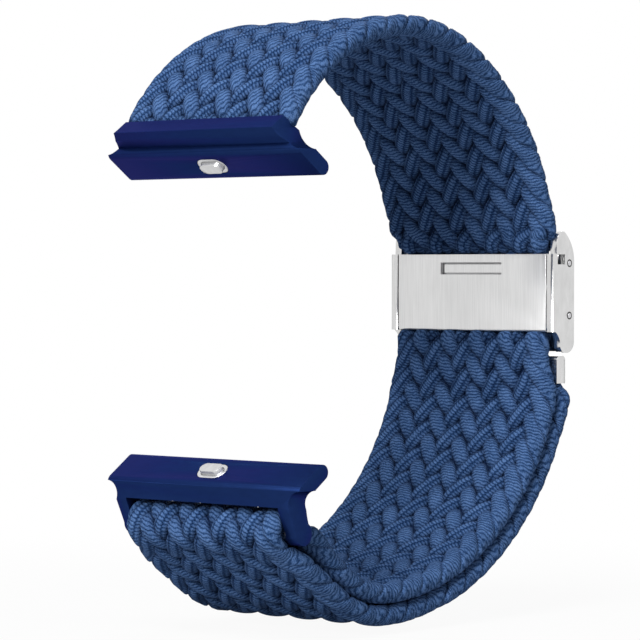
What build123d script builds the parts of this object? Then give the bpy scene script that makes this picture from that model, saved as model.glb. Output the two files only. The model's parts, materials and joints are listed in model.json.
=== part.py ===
from build123d import *
import os
from math import acos, atan2, cos, degrees, hypot, radians, sin, sqrt

# Braided elastic watch strap: one band, two lug connectors and a steel sliding clasp.
# X is the strap's width, Y runs back from the connectors to the clasp, Z is up.
# The origin is midway between the two connectors. Outlines are drawn in (y, z).

# Braided band
band_width = 25.2
band_t = 2.4
layer_gap = 0.15
wrap_t = 2.2
swell_run = 0.4
edge_size = 1.0
# The rounded edge's steps as shares of its size: distance from the side, loss on each surface
edge_shares = [(1, 0), (0.4, 0.25), (0, 0.6)]
side_gap = 0.25
press_gap = 0.1

# Loop, seen from the side, followed clockwise from the upper connector
start_y = -1.0
start_z = 22.2
start_heading = 57.5
crown_turn = 59.5
shoulder_radius = 22.0
shoulder_turn = 26.5
back_radius = 29.8
entry_radius = 8.0
entry_turn = 10.0
clasp_heading = -90.0
bend_radius = 8.0
bend_turn = 21.0
floor_z = -32.2
toe_radius = 12.8
bar_z = -24.2

# Connectors
rail_length = 30.6
rail_depth = 5.6
rail_t = 1.8
rail_tilt = 35.0
rail_y = -0.1
rail_z = 18.3
neck_t = 3.0
neck_fillet = 3.0
lip_length = 2.4
lip_heading = 215.0
lip_t = 1.1
pocket_depth = 2.0
pocket_t = 1.2
fit_gap = 0.05

# Rivets
rivet_r = 0.6
rivet_head_r = 0.9
rivet_head_t = 0.3
rivet_skin = 0.3
rivet_pitch = 8.0
clamp_rivet_r = 0.45
clamp_rivet_head_r = 0.8
clamp_rivet_head_t = 0.2

# Lower connector's ears
ear_width = 1.65
ear_r = 1.3
ear_front = 2.5
ear_waist = 0.35
ear_back = 1.2
shoulder_drop = 2.2

# Spring bar
bar_r = 0.7
bar_bore_r = 0.5
bar_mouth_r = 0.42
bar_mouth_length = 0.4
bar_gap = 0.1
tip_r = 0.38
tip_collar_r = 0.46
tip_collar_length = 1.6
tip_reach = 0.8
tip_hole_r = 0.43
tip_hole_slack = 0.2
running_gap = 0.03

# Latch in each rail
latch_length = 3.2
latch_width = 1.5
latch_flange = 0.3
latch_flange_t = 0.25
latch_ring = 0.55
latch_ring_t = 0.3
latch_proud = 0.5
latch_floor = 0.4
latch_gap = 0.05
latch_spring_wall = 0.3

# Clasp, from its wrist side outwards
clasp_y = 46.4
clasp_low = -1.95
clasp_high = 7.75
clasp_depth = 4.3
cheek_t = 1.0
band_behind_face = 0.6
flap_t = 0.6
flap_gap = 0.1
grip_t = 0.2
ridge_t = 0.15
ridge_count = 6
pressed_t = 1.25
pressed_inset = 1.1
press_taper = 1.05
pin_r = 0.4
pin_inset = 0.95
upper_pin_z = 6.6
lower_pin_z = 0.08
web_t = 0.4
bridge_t = 0.7
bridge_low = 8.1
bridge_high = 9.8
cheek_rise = 2.8
cheek_drop = 2.6
# Cheek's outline as shares of the clasp's depth and of the rise or the drop
cheek_rim_shares = [(0.17, 0), (0.18, 0.5), (0.29, 0.88), (0.52, 1), (0.86, 0.45)]
cheek_foot_shares = [(1, 0.4), (0.9, 0.84), (0.6, 1), (0.42, 0.9), (0.35, 0.7), (0.28, 0.25), (0.12, 0)]
window_front = 0.95
window_depth = 1.45
window_low = 6.45
window_height = 1.25

# Locking flap
slot_length = 9.9
slot_low = 5.2
slot_height = 1.5
hem_t = 0.95
hem_corner = 0.3
flap_pin_r = 0.25
flap_pin_seat = 0.5
tab_t = 0.4
tab_gap = 0.1
tab_reach = 1.25
tab_low = 6.55
tab_height = 1.05
grip_low = -0.7
grip_high = 7.4

# Safety cover
cover_t = 0.5
cover_gap = 0.15
cover_low = -3.2
cover_lip_y = 0.75
cover_lip_z = 1.2
catch_offset = 8.5
catch_width = 2.0
catch_t = 0.28
catch_leg = 2.0
catch_reach = 0.9

# End clamp and its hook
clamp_high = -4.95
clamp_low = -8.4
clamp_t = 1.7
clamp_wall = 0.4
clamp_round = 0.5
clamped_t = 0.8
hook_width = 12.0
hook_t = 0.4
hook_gap = 0.02
hook_angle = 75.0
hook_foot = 0.9

# Cutting overrun
over = 1.0

band_half = band_width / 2
half_t = band_t / 2
narrow_half = band_half - pressed_inset
inner_half = narrow_half + tab_gap + tab_t + cover_gap
layer_pitch = band_t + layer_gap
band_y = clasp_y + band_behind_face
outer_y = band_y + layer_pitch
clasp_back = clasp_y + clasp_depth
pin_y = clasp_back - pin_inset
bore_r = bar_r + bar_gap
wrap_r = bore_r + wrap_t
bar_place = (0, bar_z)
upper_pin = (pin_y, upper_pin_z)
lower_pin = (pin_y, lower_pin_z)
flap_back = clasp_y + flap_t
grip_back = flap_back + grip_t + ridge_t
pressed_y = grip_back + flap_gap
pressed_back = pressed_y + pressed_t
web_y = pressed_back + press_gap
press_high = clasp_high + flap_gap + side_gap
press_low = clasp_low - flap_gap
cheek_high = clasp_high + cheek_rise
cheek_low = clasp_low - cheek_drop
flap_pin = (clasp_y + hem_t / 2, clasp_low + hem_t / 2)


def ahead(place, heading, length):
    turn = radians(heading)
    return (place[0] + length * cos(turn), place[1] + length * sin(turn))


def aside(place, heading, offset):
    # A point to the left of the heading, or to its right where the offset is negative
    return ahead(place, heading + 90, offset)


def outline(*points):
    return make_face(Polyline(*points, close=True))


def plate(sketch, half):
    # A side view, given thickness across the strap's width
    return extrude(Plane.YZ * sketch, amount=half, both=True)


def strip(sketch, low, high):
    middle = (low + high) / 2
    return Pos(middle, 0, 0) * plate(sketch, (high - low) / 2)


def disc(place, radius):
    return Pos(place[0], place[1]) * Circle(radius)


def block(x, y, z):
    # A box from three pairs of limits
    size = Box(x[1] - x[0], y[1] - y[0], z[1] - z[0])
    return Pos((x[0] + x[1]) / 2, (y[0] + y[1]) / 2, (z[0] + z[1]) / 2) * size


def both_ways(half):
    return (-half, half)


def mirrored(solid):
    return solid + mirror(solid, Plane.YZ)


def save(name, shape):
    shape.label = name
    export_step(shape, "parts/" + name + ".step")


class Course:
    # Follows the band's middle and lays a face beside it at each step.
    # Sides are the distances to its inner and its outer surface.
    def __init__(self, place, heading, sides):
        self.place = place
        self.heading = heading
        self.sides = sides
        self.faces = []

    def run(self, length, sides=None):
        # A straight stretch, which may taper to other sides
        sides = sides or self.sides
        end = ahead(self.place, self.heading, length)
        corners = (
            aside(self.place, self.heading, -self.sides[0]),
            aside(self.place, self.heading, self.sides[1]),
            aside(end, self.heading, sides[1]),
            aside(end, self.heading, -sides[0]),
        )
        self.faces.append(outline(*corners))
        self.place = end
        self.sides = sides

    def turn(self, radius, angle):
        # A clockwise bend
        centre = aside(self.place, self.heading, -radius)

        def at(share, offset):
            return aside(centre, self.heading - share * angle, radius + offset)

        inner, outer = -self.sides[0], self.sides[1]
        edges = [
            Line(at(0, inner), at(0, outer)),
            ThreePointArc(at(0, outer), at(0.5, outer), at(1, outer)),
            Line(at(1, outer), at(1, inner)),
            ThreePointArc(at(1, inner), at(0.5, inner), at(0, inner)),
        ]
        self.faces.append(make_face(edges))
        self.place = at(1, 0)
        self.heading = self.heading - angle


def lower_bends(course, offset):
    # The loop's lower half, from the clasp to the bar, for either layer
    course.turn(bend_radius + offset, bend_turn)
    rest = course.heading + 180
    sweep_radius = (course.place[1] - floor_z + offset) / (1 - cos(radians(rest)))
    course.turn(sweep_radius, rest)
    centre = (course.place[0], floor_z + toe_radius)
    reach = (centre[0] - bar_place[0], centre[1] - bar_place[1])
    span = hypot(*reach)
    rim = toe_radius + layer_pitch + half_t - wrap_r
    # The outward normal where the outer layer's surface leaves for the turn round the bar
    normal = 360 + degrees(atan2(reach[1], reach[0])) - degrees(acos(-rim / span))
    course.turn(toe_radius + offset, 270 - normal)
    course.run(sqrt(span**2 - rim**2))


def bend_reach(radius, heading, turned):
    # How far along Y a bend carries the band
    return radius * (sin(radians(heading)) - sin(radians(heading - turned)))


def crown_radius():
    # The crown takes up what the other stretches leave of the way back to the clasp
    reach = band_y - start_y - swell_run * cos(radians(start_heading))
    heading = start_heading - crown_turn
    reach -= bend_reach(shoulder_radius, heading, shoulder_turn)
    heading -= shoulder_turn
    entry_heading = clasp_heading + entry_turn
    reach -= bend_reach(back_radius, heading, heading - entry_heading)
    reach -= bend_reach(entry_radius, entry_heading, entry_turn)
    return reach / bend_reach(1, start_heading, crown_turn)


def inner_course(trim):
    thin = (pocket_t / 2, pocket_t / 2)
    full = (half_t - trim, half_t - trim)
    mouth = (start_y, start_z)
    course = Course(ahead(mouth, start_heading, -pocket_depth), start_heading, thin)
    course.run(pocket_depth)
    course.run(swell_run, full)
    course.turn(crown_radius(), crown_turn)
    course.turn(shoulder_radius, shoulder_turn)
    course.turn(back_radius, course.heading - clasp_heading - entry_turn)
    course.turn(entry_radius, entry_turn)
    course.run(course.place[1] - press_high - press_taper)
    course.run(press_taper, (band_y - pressed_y, pressed_back - band_y))
    course.run(press_high - press_low)
    course.run(press_taper, full)
    course.run(course.place[1] - clamp_low + swell_run)
    lower_bends(course, 0)
    return course


def outer_course(trim):
    thin = (clamped_t / 2, clamped_t / 2)
    top = clamp_high - clamp_wall - fit_gap
    course = Course((outer_y, top), clasp_heading, thin)
    course.run(top - clamp_low)
    course.run(swell_run, (half_t - trim, half_t - trim))
    lower_bends(course, layer_pitch)
    return course


def rivet_places():
    return [-rivet_pitch, 0, rivet_pitch]


def neck_rivet(x, radius, low, high):
    # A round bar across the neck, from the wrist side outwards
    middle = ahead((start_y, start_z), start_heading, -pocket_depth / 2)
    centre = aside(middle, start_heading, (low + high) / 2)
    lean = Rot(start_heading - 90, 0, 0) * Rot(90, 0, 0)
    return Pos(x, centre[0], centre[1]) * lean * Cylinder(radius, high - low)


def clamp_rivet(x, radius, low, high):
    middle = (clamp_high + clamp_low) / 2
    return Pos(x, (low + high) / 2, middle) * Rot(90, 0, 0) * Cylinder(radius, high - low)


def band_section(trim):
    section = disc(bar_place, wrap_r)
    for face in inner_course(trim).faces + outer_course(trim).faces:
        section += face
    return section


def braided_band():
    solid = None
    for inset_share, trim_share in edge_shares:
        half = band_half - inset_share * edge_size
        layer = plate(band_section(trim_share * edge_size), half)
        solid = layer if solid is None else solid + layer
    past = (narrow_half, band_half + over)
    beside_clasp = (cheek_low - side_gap, cheek_high + side_gap)
    clasp_cut = block(past, (clasp_y - over, clasp_back + over), beside_clasp)
    clamp_cut = block(past, (clamp_face(), clamp_face() + clamp_t), (clamp_low, clamp_high))
    ear_cut = strip(disc(bar_place, wrap_r + side_gap), *past)
    for cut in (clasp_cut, clamp_cut, ear_cut, neck_space(past, pocket_t)):
        solid -= mirrored(cut)
    solid -= plate(disc(bar_place, bore_r), band_half + over)
    for x in rivet_places():
        solid -= neck_rivet(x, rivet_r + running_gap, -neck_t, neck_t)
        solid -= clamp_rivet(x, clamp_rivet_r + running_gap, clamp_face(), outer_y + clamp_t)
    return solid


def neck_space(x, thickness):
    # The part of the neck that the band's end fills
    mouth = (start_y, start_z)
    end = ahead(mouth, start_heading, -pocket_depth - fit_gap)
    half = thickness / 2
    corners = (
        aside(mouth, start_heading, -half),
        aside(mouth, start_heading, half),
        aside(end, start_heading, half),
        aside(end, start_heading, -half),
    )
    return strip(outline(*corners), x[0], x[1])


def rail_section(up):
    # The rounded bar that slides into its slot, up is 1 or -1
    return Pos(rail_y, up * rail_z) * Rot(0, 0, -up * rail_tilt) * SlotOverall(rail_depth, rail_t)


def width_mask(z_rail, z_neck, half_neck, corner):
    # Front view: the rail's full length, narrowed by a hollow curve to the neck
    half_rail = rail_length / 2
    edges = [
        Line((0, 0), (half_rail, 0)),
        Line((half_rail, 0), (half_rail, z_rail)),
        ThreePointArc((half_rail, z_rail), corner, (half_neck, z_neck)),
        Line((half_neck, z_neck), (half_neck, 2 * z_rail)),
        Line((half_neck, 2 * z_rail), (0, 2 * z_rail)),
        Line((0, 2 * z_rail), (0, 0)),
    ]
    half = extrude(Plane.XZ * make_face(edges), amount=rail_length, both=True)
    return mirrored(half)


def latch_space(up, length, width, low, high):
    # A rounded bar square to the rail's flat, on the side of the gap between the rails
    lean = Rot(180 - rail_tilt, 0, 0) if up > 0 else Rot(rail_tilt, 0, 0)
    bar = extrude(SlotOverall(length, width), amount=high - low)
    return Pos(0, rail_y, up * rail_z) * lean * Pos(0, 0, low) * bar


def latch_levels():
    face = rail_t / 2
    flange_top = face - latch_ring_t - latch_gap
    return {
        "face": face,
        "floor": latch_floor - face,
        "flange_top": flange_top,
        "flange_low": flange_top - latch_flange_t,
    }


def upper_connector():
    mouth = (start_y, start_z)
    inner = aside(mouth, start_heading, -neck_t / 2)
    outer = aside(mouth, start_heading, neck_t / 2)
    lip = ahead(outer, lip_heading, lip_length)
    lip_low = aside(lip, lip_heading, lip_t)
    rail_front = ahead((rail_y, rail_z), 180 - rail_tilt, (rail_depth - rail_t) / 2)
    neck = outline(inner, outer, lip, lip_low, rail_front, (rail_y, rail_z), (inner[0], rail_z))
    half = band_half
    shoulder = rail_z + rail_t / 2
    inset = neck_fillet * (1 - sqrt(0.5))
    corner = (half + inset, shoulder + inset)
    mask = width_mask(shoulder, shoulder + neck_fillet, half, corner)
    solid = plate(neck + rail_section(1), rail_length / 2) & mask
    half_pocket = narrow_half + fit_gap
    solid -= neck_space(both_ways(half_pocket), pocket_t + 2 * fit_gap)
    solid -= latch_pocket(1)
    for x in rivet_places():
        solid -= neck_rivet(x, rivet_r + running_gap, -neck_t / 2 - over, neck_t / 2 - rivet_skin)
        solid -= neck_rivet(x, rivet_head_r, -neck_t / 2 - over, rivet_head_t - neck_t / 2)
    return solid


def upper_band_rivets():
    group = []
    for x in rivet_places():
        shank = neck_rivet(x, rivet_r, -neck_t / 2, neck_t / 2 - rivet_skin - fit_gap)
        head = neck_rivet(x, rivet_head_r - fit_gap, -neck_t / 2, rivet_head_t - neck_t / 2)
        group.append((shank + head).solid())
    return Compound(children=group)


def lower_connector():
    half = inner_half + ear_width
    shoulder = rail_z + rail_t / 2
    waist_z = -shoulder - shoulder_drop
    front_top = (rail_y - ear_front, -shoulder)
    front_low = (rail_y - ear_front, waist_z)
    tip_front = (-ear_r, bar_z)
    tip_back = (ear_back, bar_z)
    back_top = (ear_waist + fit_gap, -rail_z)
    edges = [
        Line((rail_y, -rail_z), front_top),
        Line(front_top, front_low),
        Line(front_low, tip_front),
        Line(tip_front, tip_back),
        ThreePointArc(tip_back, (ear_waist, waist_z), back_top),
        Line(back_top, (rail_y, -rail_z)),
    ]
    ear = make_face(edges) + disc(bar_place, ear_r)
    mask = width_mask(shoulder, shoulder + shoulder_drop, half, lower_corner(half, shoulder))
    solid = plate(ear + rail_section(-1), rail_length / 2) & mirror(mask, Plane.XY)
    gap = both_ways(inner_half)
    below = block(gap, both_ways(rail_depth), (2 * bar_z, bar_z + wrap_r + fit_gap))
    solid -= below + strip(disc(bar_place, wrap_r + side_gap), *gap)
    reach = inner_half + tip_reach + tip_hole_slack
    solid -= strip(disc(bar_place, tip_hole_r), -reach, reach)
    solid -= latch_pocket(-1)
    return solid


def lower_corner(half, shoulder):
    # Middle of the hollow curve between the rail's end and the ear
    step = rail_length / 2 - half
    return (half + step * (1 - sqrt(0.5)) / 2, shoulder + shoulder_drop * (1 - sqrt(0.5)))


def latch_pocket(up):
    level = latch_levels()
    grow = 2 * latch_ring
    high = level["face"] + over
    return latch_space(up, latch_length + grow, latch_width + grow, level["floor"], high)


def latch_button(up):
    level = latch_levels()
    grow = 2 * latch_flange
    high = level["face"] + latch_proud
    stem = latch_space(up, latch_length, latch_width, level["flange_low"], high)
    low, top = level["flange_low"], level["flange_top"]
    return stem + latch_space(up, latch_length + grow, latch_width + grow, low, top)


def latch_retainer(up):
    level = latch_levels()
    low = level["face"] - latch_ring_t
    grow = 2 * latch_ring - 2 * running_gap
    ring = latch_space(up, latch_length + grow, latch_width + grow, low, level["face"])
    clear = 2 * latch_gap
    high = level["face"] + over
    return ring - latch_space(up, latch_length + clear, latch_width + clear, low - over, high)


def latch_spring(up):
    level = latch_levels()
    low, high = level["floor"], level["flange_low"]
    grow = 2 * latch_flange
    sleeve = latch_space(up, latch_length + grow, latch_width + grow, low, high)
    shrink = grow - 2 * latch_spring_wall
    hole = latch_space(up, latch_length + shrink, latch_width + shrink, low - over, high + over)
    return sleeve - hole


def bar_tube():
    half = inner_half - side_gap / 2
    tube = strip(disc(bar_place, bar_r), -half, half)
    bored = half - bar_mouth_length
    tube -= strip(disc(bar_place, bar_bore_r), -bored, bored)
    return tube - strip(disc(bar_place, bar_mouth_r), -half - over, half + over)


def tip_collar():
    # Limits of a tip's collar along X
    high = inner_half - side_gap / 2 - bar_mouth_length - running_gap
    return (high - tip_collar_length, high)


def bar_tip():
    low, high = tip_collar()
    collar = strip(disc(bar_place, tip_collar_r), low, high)
    return collar + strip(disc(bar_place, tip_r), low, inner_half + tip_reach)


def bar_spring():
    half = tip_collar()[0]
    sleeve = strip(disc(bar_place, tip_collar_r), -half, half)
    return sleeve - strip(disc(bar_place, tip_r - running_gap), -half - over, half + over)


def cheek_outline():
    # From the foot of the wrist-side face, clockwise, first over the top and then back underneath
    def rim(shares):
        depth_share, rise_share = shares
        return (clasp_y + depth_share * clasp_depth, clasp_high + rise_share * cheek_rise)

    def foot(shares):
        depth_share, drop_share = shares
        return (clasp_y + depth_share * clasp_depth, clasp_low - drop_share * cheek_drop)

    corner, riser, crown, tip, back = [rim(shares) for shares in cheek_rim_shares]
    heel, sole, toe, instep, bay, arch, front = [foot(shares) for shares in cheek_foot_shares]
    edges = [
        Line((clasp_y, clasp_low), (clasp_y, clasp_high)),
        Line((clasp_y, clasp_high), corner),
        Line(corner, riser),
        ThreePointArc(riser, crown, tip),
        ThreePointArc(tip, back, (clasp_back, upper_pin_z)),
        Line((clasp_back, upper_pin_z), heel),
        ThreePointArc(heel, sole, toe),
        ThreePointArc(toe, instep, bay),
        ThreePointArc(bay, arch, front),
        Line(front, (clasp_y, clasp_low)),
    ]
    return make_face(edges)


def clasp_frame():
    outer_half = inner_half + cheek_t
    solid = mirrored(strip(cheek_outline(), inner_half, outer_half))
    joined = both_ways(inner_half + cheek_t / 2)
    hook_top = lower_pin_z + pin_r + hook_gap + hook_t
    knuckle_low = upper_pin_z - pin_inset
    solid += block(joined, (web_y, web_y + web_t), (hook_top + cover_gap, knuckle_low - cover_gap))
    solid += block(joined, (pin_y - bridge_t, pin_y), (bridge_low, bridge_high))
    through = both_ways(outer_half + over)
    window_y = (clasp_y + window_front, clasp_y + window_front + window_depth)
    window_z = (window_low, window_low + window_height)
    solid -= mirrored(block((inner_half, outer_half + over), window_y, window_z))
    for pin in (upper_pin, lower_pin):
        solid -= strip(disc(pin, pin_r + hook_gap), *through)
    seat = inner_half + flap_pin_seat + fit_gap
    solid -= strip(disc(flap_pin, flap_pin_r + hook_gap), -seat, seat)
    return solid


def locking_flap():
    half = inner_half - cover_gap
    body = block(both_ways(half), (clasp_y, flap_back), (clasp_low + hem_t / 2, clasp_high))
    body -= block(
        both_ways(slot_length / 2),
        (clasp_y - over, flap_back + over),
        (slot_low, slot_low + slot_height),
    )
    hem = Pos(flap_pin[0], flap_pin[1]) * RectangleRounded(hem_t, hem_t, hem_corner)
    body += plate(hem, half)
    tab_y = (clasp_y, flap_back + tab_reach)
    body += mirrored(block((half - tab_t, half), tab_y, (tab_low, tab_low + tab_height)))
    return body - plate(disc(flap_pin, flap_pin_r + running_gap), half + over)


def flap_grip_plate():
    half = inner_half - cover_gap - tab_t - side_gap
    base = block(both_ways(half), (flap_back, flap_back + grip_t), (grip_low, grip_high))
    pitch = (grip_high - grip_low) / ridge_count
    for place in range(ridge_count):
        low = grip_low + place * pitch
        foot = (flap_back + grip_t / 2, low)
        crest = (flap_back + grip_t + ridge_t, low + pitch / 4)
        top = (flap_back + grip_t / 2, low + pitch / 2)
        base += plate(outline(foot, crest, top), half)
    return base


def cross_pin(place):
    return plate(disc(place, pin_r), inner_half + cheek_t)


def safety_cover():
    half = inner_half - cover_gap
    face = clasp_back - cover_t
    bend = (clasp_back, cover_low)
    lip = (clasp_back - cover_lip_y, cover_low - cover_lip_z)
    corners = (
        (face, upper_pin_z),
        (clasp_back, upper_pin_z),
        bend,
        lip,
        (lip[0] - cover_t, lip[1]),
        (face, cover_low + cover_t / 2),
    )
    section = outline(*corners) + disc(upper_pin, pin_inset)
    return plate(section - disc(upper_pin, pin_r + fit_gap), half)


def cover_catch_springs():
    # Pairs of leaves that close on the lower pin from above and below
    face = clasp_back - cover_t
    group = []
    for x in both_ways(catch_offset):
        for side in (1, -1):
            near = lower_pin_z + side * (pin_r + fit_gap)
            leaf_end = near + side * catch_t
            base_end = near + side * catch_leg
            wide = (x - catch_width / 2, x + catch_width / 2)
            prong = block(wide, (face - catch_reach, face), sorted((near, leaf_end)))
            base = block(wide, (face - catch_t, face), sorted((near, base_end)))
            group.append((prong + base).solid())
    return Compound(children=group)


def clamp_face():
    return outer_y - clamp_t / 2


def end_clamp():
    half = inner_half - cover_gap
    depth = (clamp_face(), clamp_face() + clamp_t)
    cap = block(both_ways(half), depth, (clamp_low, clamp_high))
    cap = fillet(cap.faces().sort_by(Axis.Z)[-1].edges().filter_by(Axis.X), clamp_round)
    room = clamped_t / 2 + fit_gap
    inside = narrow_half + fit_gap
    low = clamp_low - over
    cap -= block(both_ways(inside), (outer_y - room, outer_y + room), (low, clamp_high - clamp_wall))
    for x in rivet_places():
        bore = clamp_rivet_r + running_gap
        cap -= clamp_rivet(x, bore, depth[0] - over, depth[1] + over)
    return cap


def end_clamp_rivets():
    inside = clamp_face()
    outside = inside + clamp_t
    group = []
    for x in rivet_places():
        rivet = clamp_rivet(x, clamp_rivet_r, inside, outside)
        rivet += clamp_rivet(x, clamp_rivet_head_r, inside - clamp_rivet_head_t, inside)
        rivet += clamp_rivet(x, clamp_rivet_head_r, outside, outside + clamp_rivet_head_t)
        group.append(rivet.solid())
    return Compound(children=group)


def end_hook():
    inner_r = pin_r + hook_gap
    outer_r = inner_r + hook_t
    middle = (180 + hook_angle) / 2

    def at(angle, radius):
        return ahead(lower_pin, angle, radius)

    curl = [
        Line(at(180, inner_r), at(180, outer_r)),
        ThreePointArc(at(180, outer_r), at(middle, outer_r), at(hook_angle, outer_r)),
        Line(at(hook_angle, outer_r), at(hook_angle, inner_r)),
        ThreePointArc(at(hook_angle, inner_r), at(middle, inner_r), at(180, inner_r)),
    ]
    near, far = pin_y - outer_r, pin_y - inner_r
    leg = outline((near, lower_pin_z), (far, lower_pin_z), (far, clamp_high), (near, clamp_high))
    foot_y = clamp_face() + clamp_round
    foot_top = clamp_high + hook_t / 2
    end = foot_y + hook_foot
    foot = outline((near, clamp_high), (near, foot_top), (end, foot_top), (end, clamp_high))
    return plate(make_face(curl) + leg + foot, hook_width / 2)


def build():
    os.makedirs("parts", exist_ok=True)
    save("braided_band", braided_band())
    save("upper_connector", upper_connector())
    save("upper_band_rivets", upper_band_rivets())
    save("lower_connector", lower_connector())
    for side, up in (("upper", 1), ("lower", -1)):
        save(side + "_latch_button", latch_button(up))
        save(side + "_latch_retainer", latch_retainer(up))
        save(side + "_latch_spring", latch_spring(up))
    save("bar_tube", bar_tube())
    save("bar_tip_right", bar_tip())
    save("bar_tip_left", mirror(bar_tip(), Plane.YZ))
    save("bar_spring", bar_spring())
    save("clasp_frame", clasp_frame())
    save("locking_flap", locking_flap())
    save("flap_grip_plate", flap_grip_plate())
    seat = inner_half + flap_pin_seat
    save("flap_hinge_pin", plate(disc(flap_pin, flap_pin_r), seat))
    save("cover_hinge_pin", cross_pin(upper_pin))
    save("catch_pin", cross_pin(lower_pin))
    save("safety_cover", safety_cover())
    save("cover_catch_springs", cover_catch_springs())
    save("end_clamp", end_clamp())
    save("end_clamp_rivets", end_clamp_rivets())
    save("end_hook", end_hook())


build()
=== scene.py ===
import json
import math

import bpy
import numpy as np
from mathutils import Matrix, Vector


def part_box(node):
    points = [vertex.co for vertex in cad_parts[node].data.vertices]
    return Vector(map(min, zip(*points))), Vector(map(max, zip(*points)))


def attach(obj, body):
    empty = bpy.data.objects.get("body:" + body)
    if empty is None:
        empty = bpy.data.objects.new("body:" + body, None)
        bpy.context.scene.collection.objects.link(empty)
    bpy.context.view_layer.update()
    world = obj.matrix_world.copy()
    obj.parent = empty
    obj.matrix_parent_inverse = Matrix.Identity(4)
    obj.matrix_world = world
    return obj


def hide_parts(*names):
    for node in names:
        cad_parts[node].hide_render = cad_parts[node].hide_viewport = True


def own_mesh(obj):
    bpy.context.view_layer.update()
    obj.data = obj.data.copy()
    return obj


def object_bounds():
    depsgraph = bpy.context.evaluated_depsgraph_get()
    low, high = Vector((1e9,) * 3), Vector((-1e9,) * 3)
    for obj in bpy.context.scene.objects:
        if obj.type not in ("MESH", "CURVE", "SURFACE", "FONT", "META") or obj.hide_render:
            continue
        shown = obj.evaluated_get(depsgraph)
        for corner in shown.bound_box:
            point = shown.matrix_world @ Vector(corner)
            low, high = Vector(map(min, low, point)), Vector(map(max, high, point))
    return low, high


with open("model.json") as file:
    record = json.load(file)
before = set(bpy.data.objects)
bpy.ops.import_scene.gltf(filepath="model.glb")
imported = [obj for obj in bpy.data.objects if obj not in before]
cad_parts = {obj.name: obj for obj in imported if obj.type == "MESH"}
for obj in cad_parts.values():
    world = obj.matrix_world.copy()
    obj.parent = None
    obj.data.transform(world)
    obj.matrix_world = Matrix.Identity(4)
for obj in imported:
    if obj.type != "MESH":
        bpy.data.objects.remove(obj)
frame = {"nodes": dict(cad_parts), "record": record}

# Sizes below are in millimetres and angles in degrees. Meshes are scaled to metres as they are made.
MM = 0.001
CAD_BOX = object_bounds()

# Band's route, seen from the side as (y, z), clockwise from the upper connector
BAND_T = 2.4
MOUTH = (-1.0, 22.2)
MOUTH_HEADING = 57.5
POCKET_DEPTH = 2.0
SWELL_RUN = 0.4
CROWN_TURN = 59.5
SHOULDER = (22.0, 26.5)
BACK_RADIUS = 29.8
ENTRY = (8.0, 10.0)
BAND_Y = 47.0
REAR_HEADING = -90.0
CLAMP_LOW = -8.4
CLAMP_TOP = -5.4
BEND = (8.0, 21.0)
FLOOR_Z = -32.2
TOE_R = 12.8
BAR = (0.0, -24.2)
LAYER_PITCH = 2.55
WRAP_R = 3.0
WRAP_T = 2.2
PRESS_HIGH = 8.1
PRESS_LOW = -2.05
PRESS_TAPER = 1.05
PRESSED_T = 1.25
PRESSED_Y = 48.075
POCKET_T = 1.2
CLAMPED_T = 0.8
NARROW_HALF = 11.5
CHEEK_HALF = 11.95
CHEEK_REACH = 2.9
CHEEK_LEAD = 0.4
CHEEK_SPREAD = 5.0
WRAP_HALF = 11.9

# How far before or after a mark of the route each change of thickness, shift, width or sway runs
POCKET_EDGE = (0.2, 0.9)
POCKET_WIDENS = (0.3, 0.5)
WRAP_TAPER = 3.0
WRAP_NARROWS = (4.0, 1.0)
SHIFT_IN = 9.0
SHIFT_OUT = 6.0
CLAMP_TAPER = (0.6, 0.3)
CLAMP_NARROWS = 1.6
SLIM_BY = 0.35
SLIM_RUN = (46.0, 34.0)
UPPER_SWAY = -0.35
UPPER_SWAY_RUN = (12.0, 32.0)
UPPER_SWAY_FADE = 4.0
OUTER_SWAY = -0.25
OUTER_SWAY_START = 30.0
OUTER_SWAY_FADE = (6.0, 2.0)

# Braid: a flat braid in which each cord goes over two and under two
CORDS = 21
BRAID_HALF = 13.2
STEP_ALONG = 1.87
END_TRIM = 0.05
EDGE_ROUND = 0.8
EDGE_SHARE = 0.86
TURN_REACH = 1.5
LEAN_REACH = 1.1
CORD_WIDTH = 2.30
CORD_T = 1.52
CORD_RISE = 0.53
FLOAT_SQUARE = 1.5
RINGS_PER_STEP = 8
SIDES = 12
# Each cord wanders a little: (size in crossings, rate along the band), from a phase drawn up to PHASES
DRIFTS = [(0.05, 0.31), (0.04, 0.83)]
PHASES = 6.28
SEED = 7
# Shares of the cord's width and thickness: everywhere, on a float, and at the band's edge
WIDTH_SHARES = (0.88, 0.12, 0.10)
THICK_SHARES = (0.90, 0.10)
# Within this distance of the band's edge the painted crease shade fades out
RIM_DEPTH = 1.1
# Core between the two faces, so nothing shows through between the cords; it has no colour of its own but takes
# the darkest painted crease shade. Its section is given as shares of its half width and of the band's half
# thickness
CORE_SECTION = [
    (1, 0), (0.94, 0.3), (0, 0.35), (-0.94, 0.3),
    (-1, 0), (-0.94, -0.3), (0, -0.35), (0.94, -0.3),
]
CORE_INSET = 1.2

# Knitted pattern of the cords. Ribs slant and widen with the cord's lean; beads lie in three rows.
RIB_PITCH = 0.54
RIB_SPREAD = 0.08
RIB_SLANT = (0.62, -1.78)
RIB_SHARPNESS = 2.2
RIB_HEIGHT = 0.8
ZIGZAG_RATE = 9.0
ZIGZAG_SIZE = 0.16
BEAD_PITCH = 0.37
BEAD_SLANT = 0.6
BEAD_OFFSET = 0.5
BEAD_LINE = 0.33
BEAD_LINE_NARROW = 6.0
BEAD_LINE_DEPTH = 0.8
FACE_BLEND = 1.5
WOBBLE_SCALE = 2200
WOBBLE_SIZE = 0.8
FIBRE_SCALE = 6500
FIBRE_HEIGHT = 1.5
TONE_SCALE = 420
TONE_SHARE = 0.25
HEIGHT_SHARE = 0.42
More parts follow.
